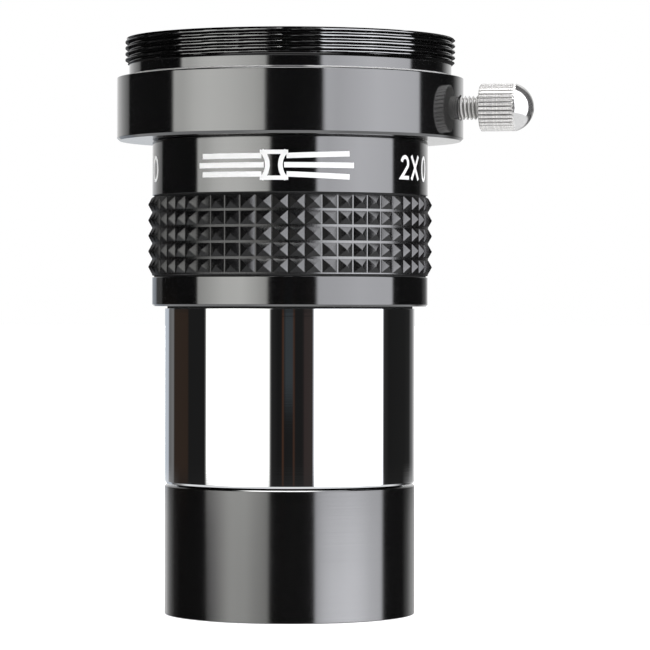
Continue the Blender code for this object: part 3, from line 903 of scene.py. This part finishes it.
def build_ring():
    """Brass ring, split on the side away from the screw."""
    points = rounded(RING)
    start = math.atan2(SCREW_DIR[1], SCREW_DIR[0]) + math.pi + RING_GAP / 2
    angle = np.linspace(start, start + TAU - RING_GAP, RING_SEGS + 1)
    verts = np.concatenate([
        np.stack([r * np.cos(angle), r * np.sin(angle), np.full_like(angle, z)], 1)
        for r, z in points])
    n, row = len(points), RING_SEGS + 1
    faces = []
    for i in range(n):
        a, b = i * row, (i + 1) % n * row
        faces += [(a + j, a + j + 1, b + j + 1, b + j) for j in range(RING_SEGS)]
    ends = [[i * row for i in range(n)][::-1], [i * row + RING_SEGS for i in range(n)]]
    mesh = bpy.data.meshes.new("split_ring")
    mesh.from_pydata([tuple(p * MM) for p in verts], [], faces + ends)
    tidy(mesh, face_out=True)
    piece("split_ring", mesh, brass, "clamp_ring", ("compression_ring",))


build_ring()

# ---------------------------------------------------------------- thumbscrew
# Outlines are (radius, distance out along the screw's axis).

FLUTES, FLUTE_DEPTH = 34, 0.25
KNOB_R = 2.98
KNOB_BACK, KNURL_END = 24.60, 28.74
DOME_R, DOME_CENTRE = 3.10, 28.20
SHANK_START, SHANK_TAPER = 19.60, 24.25
# (distance from the back, radius, share of the flute depth) at the knob's rounded back
KNOB_BACK_ROWS = [(0.02, 2.80, 0.5), (0.05, 2.90, 0.85), (0.09, 2.96, 1.0),
                  (0.14, KNOB_R, 1.0)]
# (distance beyond the knurl's end, share of the flute depth) where the flutes run out
RUN_OUT_ROWS = [(0.0, 1.0), (0.10, 0.80), (0.20, 0.55), (0.30, 0.30), (0.40, 0.10), (0.46, 0.0)]


def fluted(radius, share):
    def at(angle):
        turns = angle * FLUTES / TAU
        rise = np.abs(turns - np.round(turns)) * 2.0  # 0 at a flute's bottom, 1 on a crest
        return radius - FLUTE_DEPTH * share * (1.0 - np.clip(rise * 2.1, 0.0, 1.0))
    return at


def build_knob():
    rows = [(1.3, KNOB_BACK), (2.62, KNOB_BACK), (2.69, KNOB_BACK + 0.01)]
    rows += [(fluted(r, share), KNOB_BACK + dz) for dz, r, share in KNOB_BACK_ROWS]
    rows += [(fluted(KNOB_R, 1.0), float(z))
             for z in np.linspace(KNOB_BACK + 0.45, KNURL_END - 0.10, 9)]
    # the flutes run out into a polished, nearly spherical end
    for dz, share in RUN_OUT_ROWS:
        z = KNURL_END + dz
        radius = min(KNOB_R, math.sqrt(DOME_R ** 2 - (z - DOME_CENTRE) ** 2))
        rows.append((fluted(radius, share), z))
    low = math.degrees(math.asin((KNURL_END + 0.50 - DOME_CENTRE) / DOME_R))
    for i in range(19):
        a = math.radians(low + (89.6 - low) * i / 18.0)
        rows.append((DOME_R * math.cos(a), DOME_CENTRE + DOME_R * math.sin(a)))
    # back down through the inside of the knob
    rows += [(0.02, 30.6), (0.02, KNOB_BACK + 1.0), (1.3, KNOB_BACK + 1.0)]
    turned("knob", rows, FLUTES * 14, nickel, "screw_head", ("thumbscrew",),
           sharp=38.0, on_screw=True)


def build_shank():
    thread = helix(1.50, 1.20, 0.50, 0.0, crest_flat=0.03)
    rows = [(0.02, 19.55), (1.12, 19.55)]
    for z in heights(SHANK_START, KNOB_BACK + 0.05, 0.025):
        if z < SHANK_TAPER:
            limit = 1.18 + 0.9 * (z - SHANK_START)
        else:
            limit = max(1.22, 1.5 - 1.2 * (z - SHANK_TAPER))
        rows.append((thread(z, high=limit), z))
    rows += [(1.22, KNOB_BACK + 0.06), (0.02, KNOB_BACK + 0.06)]
    turned("shank", rows, 96, nickel, "screw_head", sharp=60.0, on_screw=True)


def build_tip():
    tip = rounded([(0.02, 18.72), (0.98, 18.72, 0.12), (0.98, 19.50), (0.02, 19.50)])
    turned("screw_tip", tip, 48, nickel, "screw_feed", ("thumbscrew_tip",),
           sharp=38.0, on_screw=True)


build_knob()
build_shank()
build_tip()

# ---------------------------------------------------------------- painted markings

MARK_FOOT_R, MARK_FACE_R = BODY_R - 0.02, BODY_R + 0.012
MARK_STEP = 0.25    # longest strip of a patch along the curve


class Marks:
    """Flat shapes in (arc length to the right of the front, height), wrapped on the body
    as thin solids."""

    def __init__(self):
        self.verts, self.faces = [], []

    def patch(self, a, b, c, d):
        """A four-sided patch, cut into strips so that it follows the cylinder. Its corners
        run anticlockwise seen from outside."""
        runs = [abs(q[0] - p[0]) for p, q in ((a, b), (d, c), (a, d), (b, c))]
        n = max(1, int(math.ceil(max(runs) / MARK_STEP)))
        m = n if max(runs[2:]) > MARK_STEP else 1
        base = len(self.verts)
        for r in (MARK_FOOT_R, MARK_FACE_R):
            for i in range(n + 1):
                for j in range(m + 1):
                    s, t = i / n, j / m
                    p = (a * (1 - s) + b * s) * (1 - t) + (d * (1 - s) + c * s) * t
                    angle = FRONT + p[0] / BODY_R
                    self.verts.append((r * math.cos(angle), r * math.sin(angle), p[1]))

        def at(i, j, face):
            return base + face * (n + 1) * (m + 1) + i * (m + 1) + j

        add = self.faces.append
        for i in range(n):
            for j in range(m):
                add((at(i, j, 1), at(i + 1, j, 1), at(i + 1, j + 1, 1), at(i, j + 1, 1)))
                add((at(i, j + 1, 0), at(i + 1, j + 1, 0), at(i + 1, j, 0), at(i, j, 0)))
        for i in range(n):
            add((at(i, 0, 0), at(i + 1, 0, 0), at(i + 1, 0, 1), at(i, 0, 1)))
            add((at(i + 1, m, 0), at(i, m, 0), at(i, m, 1), at(i + 1, m, 1)))
        for j in range(m):
            add((at(0, j + 1, 0), at(0, j, 0), at(0, j, 1), at(0, j + 1, 1)))
            add((at(n, j, 0), at(n, j + 1, 0), at(n, j + 1, 1), at(n, j, 1)))

    def stroke(self, points, width):
        """A line of even width with mitred joints."""
        points = [np.array(p, float) for p in points]
        normals = []
        for p, q in zip(points, points[1:]):
            along = (q - p) / np.linalg.norm(q - p)
            normals.append(np.array([-along[1], along[0]]))
        left, right = [], []
        for i, p in enumerate(points):
            ahead = normals[min(i, len(normals) - 1)]
            mitre = normals[max(i - 1, 0)] + ahead
            mitre = mitre / np.linalg.norm(mitre)
            reach = 0.5 * width / max(0.35, float(mitre @ ahead))
            left.append(p + mitre * reach)
            right.append(p - mitre * reach)
        for i in range(len(points) - 1):
            self.patch(right[i], right[i + 1], left[i + 1], left[i])

    def arc(self, centre, radii, start, end, width, steps):
        points = []
        for i in range(steps + 1):
            a = math.radians(start + (end - start) * i / steps)
            points.append((centre[0] + radii[0] * math.cos(a),
                           centre[1] + radii[1] * math.sin(a)))
        self.stroke(points, width)

    def build(self, name):
        mesh = bpy.data.meshes.new(name)
        mesh.from_pydata([tuple(MM * x for x in p) for p in self.verts], [], self.faces)
        piece(name, mesh, paint, "barrel_assembly", (), 30.0)


DIAGRAM_X = -2.0
DIAGRAM_LOW, DIAGRAM_HIGH = 15.35, 18.95
DIAGRAM_Z = 0.5 * (DIAGRAM_LOW + DIAGRAM_HIGH)
RAY_WIDTH = 0.66

TEXT_LOW, TEXT_HEIGHT = 15.62, 3.05
TEXT_WIDTH = 0.46
TWO_X, TWO_WIDTH = BODY_R * math.radians(51.6), 1.75
CROSS_X, CROSS_WIDTH = TWO_X + TWO_WIDTH + 0.75, 1.95
OUTLINE_WIDTH = 0.40


def mark_diagram():
    """A ray diagram of the lens: parallel light enters from the left and spreads."""
    m = Marks()
    for s in (-1.0, 1.0):
        facing = 90 + s * 90
        m.arc((DIAGRAM_X + s * 3.05, DIAGRAM_Z), (2.25, 2.35), facing - 48, facing + 48, 0.58, 14)
    for z in (DIAGRAM_HIGH - 0.22, DIAGRAM_LOW + 0.22):
        m.stroke([(DIAGRAM_X - 1.75, z), (DIAGRAM_X + 1.75, z)], 0.52)
    # (height of the ray before and at the lens, height at its right end, reach each side)
    for rise, end_rise, inner, left, right in (
            (1.12, 1.42, 1.55, 9.6, 9.5), (-1.12, -1.42, 1.55, 9.6, 9.5),
            (0.0, 0.0, 1.25, 10.1, 10.1)):
        z = DIAGRAM_Z + rise
        m.stroke([(DIAGRAM_X - left, z), (DIAGRAM_X - inner, z)], RAY_WIDTH)
        m.stroke([(DIAGRAM_X + inner, z), (DIAGRAM_X + right, DIAGRAM_Z + end_rise)], RAY_WIDTH)
    m.build("mark_diagram")


def mark_power():
    """The magnification: a two and an X."""
    m = Marks()
    two = []
    for i in range(13):
        a = math.radians(168 - 198 * i / 12)
        two.append((TWO_X + 0.92 + 0.72 * math.cos(a),
                    TEXT_LOW + TEXT_HEIGHT - 0.98 + 0.76 * math.sin(a)))
    two += [(TWO_X + 0.16, TEXT_LOW + 0.26), (TWO_X + TWO_WIDTH + 0.08, TEXT_LOW + 0.26)]
    m.stroke(two, TEXT_WIDTH)
    low, high = TEXT_LOW + 0.06, TEXT_LOW + TEXT_HEIGHT - 0.02
    m.stroke([(CROSS_X, low), (CROSS_X + CROSS_WIDTH, high)], TEXT_WIDTH)
    m.stroke([(CROSS_X, high), (CROSS_X + CROSS_WIDTH, low)], TEXT_WIDTH)
    m.build("mark_power")


def mark_lens():
    """A lens outline to the right of the X, and one to the left of the diagram."""
    m = Marks()
    m.arc((CROSS_X + 4.1, TEXT_LOW + 0.5 * TEXT_HEIGHT), (0.75, 1.42), 0, 360,
          OUTLINE_WIDTH, 28)
    m.arc((-22.95, DIAGRAM_Z - 0.05), (1.05, 1.45), 0, 360, OUTLINE_WIDTH, 28)
    m.build("mark_lens")


mark_diagram()
mark_power()
mark_lens()

# ---------------------------------------------------------------- studio

# Brightness round the studio, as (angle, grey or colour). An angle is half the turn from the
# direction behind the camera, positive to the right: the way that a surface faces to mirror
# that light.
WORLD_STRENGTH = 5.0
HIGH_LIGHT = [
    (-90, .95), (-84, 1.1), (-80, .95), (-76, .9), (-70.5, .62), (-67.6, .42), (-66.2, .02),
    (-41.7, .012), (-40.9, 2.1), (-37.5, 2.1), (-32, 2.7), (-27, 2.9), (-20, 2.75),
    (-12, 2.35), (-8.4, 2.0), (-7.5, .02), (0, .012), (10.9, .02), (11.5, 2.55), (16, 2.35),
    (22, 2.6), (30, 2.9), (38, 2.7), (47.2, 2.35), (48.0, .03), (63, .012), (69, .05),
    (72, .36), (76, .8), (80, 1.0), (88, .95), (90, .95)]
LEVEL_LIGHT = [
    (-90, (.52, .56, .61)), (-75.5, (.50, .54, .60)), (-73.5, .12), (-67.6, .17),
    (-66.4, .014), (-53.6, .012), (-41.6, .012), (-40.8, 1.5), (-36, 1.9), (-28, 2.6),
    (-20, 2.8), (-14, 2.2), (-9.4, 1.6), (-8.4, .02), (-5, .01), (0, .012), (6.2, .012),
    (11.0, .02), (11.7, 2.2), (20, 2.3), (30, 2.5), (47.1, 2.25), (48.1, .03), (52, .012),
    (66, .014), (72, .02), (74.5, .10), (78, .2), (81, .5), (84, .8), (88, .94), (90, .95)]
LOW_LIGHT = [
    (-90, 1.1), (-84, .95), (-78, .9), (-72, .42), (-66, .08), (-60, .015), (-41.4, .02),
    (-40.4, .3), (-36, .85), (-32, 1.5), (-28, 2.15), (-20, 2.05), (-16, 1.65), (-9.9, 1.3),
    (-8.6, .05), (-7, .02), (0, .03), (11.3, .03), (12.2, 2.8), (16, 3.9), (20, 4.5),
    (28, 4.9), (32, 4.7), (36, 4.2), (40, 3.5), (46.6, 2.9), (48.2, .2), (49.4, .02),
    (64, .02), (70, .3), (74, .62), (80, .66), (90, .7)]
# faint brown stripes, and a blue one, added just below the horizon
ROOM_STRIPES = [
    (-90, 0.0), (-67.4, 0.0), (-66.2, (.017, .008, .003)), (-54.0, (.018, .008, .003)),
    (-52.8, 0.0), (-3.1, 0.0), (-2.7, (.070, .026, .010)), (-2.3, 0.0), (1.9, 0.0),
    (2.3, (.080, .030, .013)), (2.8, 0.0), (6.2, 0.0), (6.9, (.022, .013, .012)),
    (10.4, (.019, .012, .010)), (11.0, 0.0), (90, 0.0)]
BLUE_STRIPE = [(-90, 0.0), (-2.3, 0.0), (-1.9, (.024, .031, .036)), (1.6, (.024, .031, .036)),
               (1.9, 0.0), (90, 0.0)]
# light brighter than this grey takes the tint of its side
TINT_ABOVE = 1.2
LEFT_TINT, RIGHT_TINT = (0.997, 1.0, 0.972), (0.985, 0.992, 1.04)
UNLIT = (0.012 / WORLD_STRENGTH,) * 3


def tinted(table):
    out = []
    for angle, colour in table:
        if not isinstance(colour, tuple) and colour > TINT_ABOVE:
            colour = tuple(colour * k for k in (LEFT_TINT if angle < 0 else RIGHT_TINT))
        out.append((angle, colour))
    return out


def ramp_stops(table):
    out = []
    for angle, colour in table:
        rgb = colour if isinstance(colour, tuple) else (colour,) * 3
        out.append((0.5 + 2.0 * angle / 360.0, tuple(x / WORLD_STRENGTH for x in rgb)))
    return out


def build_world():
    """White to the camera, and a studio of soft panels to everything else."""
    world = bpy.data.worlds.new("studio")
    scene.world = world
    world.use_nodes = True
    g = Graph(world.node_tree)
    out = g.node("OutputWorld")
    ray = g.node("TexCoord").outputs["Generated"]
    # phi is the ray's turn from the direction behind the camera, positive to the right,
    # and rise its angle above the horizon, both in degrees
    ahead = g.split(g.change_space((0.0, 0.0, 1.0), "VECTOR", "CAMERA", "WORLD"))
    behind = g.combine(g.math("MULTIPLY", ahead[0], -1.0), g.math("MULTIPLY", ahead[1], -1.0), 0.0)
    right = g.combine(ahead[1], g.math("MULTIPLY", ahead[0], -1.0), 0.0)
    phi = g.math("ARCTAN2", g.vmath("DOT_PRODUCT", ray, right),
                 g.vmath("DOT_PRODUCT", ray, behind))
    phi = g.math("MULTIPLY", phi, 57.29578)
    rise = g.math("ARCSINE", g.split(g.vmath("NORMALIZE", ray))[2])
    rise = g.math("MULTIPLY", rise, 57.29578)
    fac = g.math("MULTIPLY_ADD", phi, 1.0 / 360.0, 0.5)

    # the left panel is low: it ends just above the horizon, and is weaker well below it
    on_right = g.math("GREATER_THAN", phi, 0.0)
    left_mask = g.span(phi, -124.0, -104.0)
    level = g.math("MULTIPLY", g.span(rise, 8.5, 5.2), g.span(rise, -14.0, -7.5, 0.12, 1.0))
    left_height = g.combine(level, level, level)
    bands = []
    for table in map(tinted, (HIGH_LIGHT, LEVEL_LIGHT, LOW_LIGHT)):
        left = g.ramp(fac, ramp_stops([stop for stop in table if stop[0] <= 0]))
        mask = g.mix(left_mask, (1.0, 1.0, 1.0), left_height)
        left = g.mix(1.0, left, mask, "MULTIPLY")
        bands.append(g.mix(on_right, left,
                           g.ramp(fac, ramp_stops([stop for stop in table if stop[0] >= 0]))))
    high, middle, low = bands
    light = g.mix(g.span(rise, 2.6, 0.4), high, middle)
    light = g.mix(g.span(rise, -0.03, -0.10), light, g.ramp(fac, ramp_stops(ROOM_STRIPES)), "ADD")
    near_horizon = g.math("MULTIPLY", g.span(rise, -0.03, -0.10), g.span(rise, -2.1, -1.2))
    light = g.mix(near_horizon, light, g.ramp(fac, ramp_stops(BLUE_STRIPE)), "ADD")
    below = g.math("MULTIPLY", g.span(rise, -2.6, -3.5), g.span(rise, -9.0, -7.0))
    light = g.mix(below, light, low)
    light = g.mix(g.span(rise, 86.0, 80.0), UNLIT, light)
    # dark above the backdrop
    backdrop = g.span(g.math("ABSOLUTE", phi), 106.0, 126.0)
    light = g.mix(g.math("MULTIPLY", backdrop, g.span(rise, 36.0, 46.0)), light, UNLIT)
    # an overhead softbox, wider towards the left, and weaker as the camera tilts
    sideways = g.math("SINE", g.math("MULTIPLY", phi, 0.01745329))
    lean = g.math("MULTIPLY_ADD", sideways, 4.0, 0.0)
    glow = g.span(g.math("ABSOLUTE", ahead[2]), 0.30, 0.70, 2.4, 0.35)
    overhead = g.span(g.math("SUBTRACT", rise, lean), 66.0, 73.0)
    light = g.mix(overhead, light, g.combine(glow, glow, glow))
    ground = g.mix(g.span(rise, -70.0, -80.0), (0.16, 0.162, 0.165), (0.215, 0.217, 0.22))
    light = g.mix(g.span(rise, -20.0, -30.0), light, ground)

    studio, plain = [
        g.fill(g.node("Background"), colour, strength).outputs[0]
        for colour, strength in ((light, WORLD_STRENGTH), ((1.0, 1.0, 1.0), 1.0))]
    to_camera = g.node("LightPath").outputs["Is Camera Ray"]
    g.put(out.inputs["Surface"], g.blend(to_camera, studio, plain))


def build_floor():
    """A pale disc just under the product, partly lit from itself."""
    bm = bmesh.new()
    bmesh.ops.create_circle(bm, cap_ends=True, cap_tris=False, segments=96, radius=6.0)
    mesh = bpy.data.meshes.new("floor")
    bm.to_mesh(mesh)
    bm.free()
    floor = bpy.data.objects.new("floor", mesh)
    floor.location = (0, 0, cad_box[0].z - 0.00012)
    scene.collection.objects.link(floor)
    g = node_material("floor")
    cloud = g.noise(g.position(), scale=8.0)
    diffuse = g.diffuse(g.mix(cloud, (0.55, 0.55, 0.55), (0.58, 0.58, 0.58)))
    emission = g.node("Emission")
    emission.inputs["Strength"].default_value = 0.72
    total = g.fill(g.node("AddShader"), diffuse, emission.outputs[0]).outputs[0]
    g.put(g.out.inputs["Surface"], total)
    mesh.materials.append(g.material)
    floor.visible_glossy = False


CAMERA_DISTANCE = 0.434
CAMERA_YAW, CAMERA_PITCH, CAMERA_ROLL = 0.589, 0.3315, 0.10   # degrees: right, down, roll


def build_camera():
    """In front of the product, looking back along +Y."""
    camera = bpy.data.cameras.new("camera")
    camera.lens = 188.92
    camera.sensor_width = 36.0
    camera.clip_start = 0.01
    camera.clip_end = 20.0
    o = bpy.data.objects.new("camera", camera)
    scene.collection.objects.link(o)
    yaw, pitch, roll = map(math.radians, (CAMERA_YAW, CAMERA_PITCH, CAMERA_ROLL))
    forward = Vector((math.sin(yaw) * math.cos(pitch), math.cos(yaw) * math.cos(pitch),
                      -math.sin(pitch)))
    x = forward.cross(Vector((0, 0, 1))).normalized()
    y = x.cross(forward).normalized()
    rolled_x = x * math.cos(roll) + y * math.sin(roll)
    rolled_y = y * math.cos(roll) - x * math.sin(roll)
    turn = Matrix((rolled_x, rolled_y, -forward)).transposed()
    o.matrix_world = Matrix.Translation((0.0, -CAMERA_DISTANCE, 0.0)) @ turn.to_4x4()
    scene.camera = o


build_world()
build_floor()
build_camera()
scene.view_settings.view_transform = "Standard"
scene.view_settings.look = "None"
